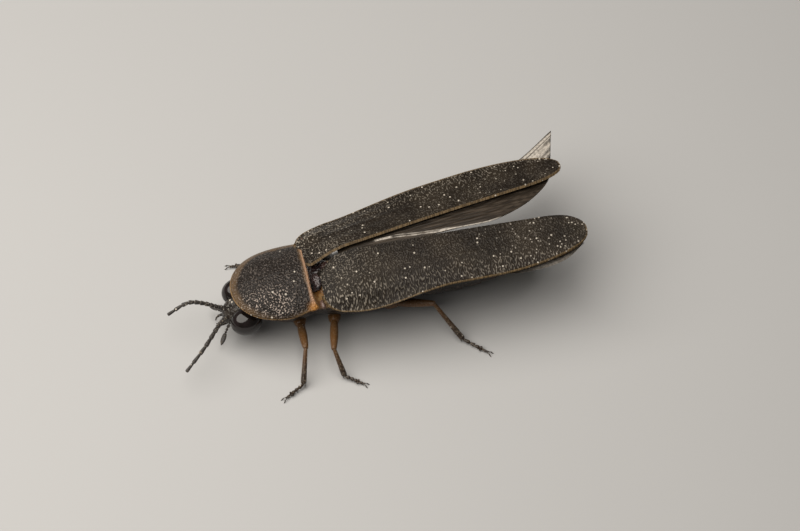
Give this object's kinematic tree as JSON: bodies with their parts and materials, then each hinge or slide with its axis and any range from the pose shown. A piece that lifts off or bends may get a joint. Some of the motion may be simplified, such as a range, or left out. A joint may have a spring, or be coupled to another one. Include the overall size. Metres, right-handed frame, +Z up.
{
  "type": "firefly",
  "caption": "Still, life-size male firefly: hooded neck shield, large eyes, long dark wing cases slightly parted over folded wings, jointed feelers and legs on small flat feet.",
  "frame": {"origin": "middle of the animal's box on the floor it stands on", "axes": "+Z up, +Y towards the tail, so the head points along -Y, and +X towards the animal's left side"},
  "size_m": [0.007, 0.0138, 0.0029],
  "materials": {
    "shield": "dark brown, finely grained shell with browner, slightly clear margins",
    "shell": "satin black shell",
    "belly": "dull dark brown shell",
    "eye": "glossy black",
    "feeler": "dull black-brown, dusted",
    "wing_case": "charcoal leathery shell, granular, with thin ochre edges",
    "membrane": "smoky wing membrane with a silky sheen",
    "leg": "orange-brown to dark brown shell"
  },
  "bodies": {
    "root": {"neck_shield": "shield", "head": "shell", "front_thorax": "belly", "thorax": "shell", "abdomen": "belly", "scutellum": "shell", "eye_left": "eye", "eye_right": "eye", "palp_left": "feeler", "palp_right": "feeler", "feeler_left": "feeler", "feeler_right": "feeler", "wing_case_left": "wing_case", "wing_case_right": "wing_case", "flying_wing_left": "membrane", "flying_wing_right": "membrane", "leg_front_left": "leg", "leg_front_right": "leg", "leg_middle_left": "leg", "leg_middle_right": "leg", "leg_hind_left": "leg", "leg_hind_right": "leg"}
  },
  "joints": []
}
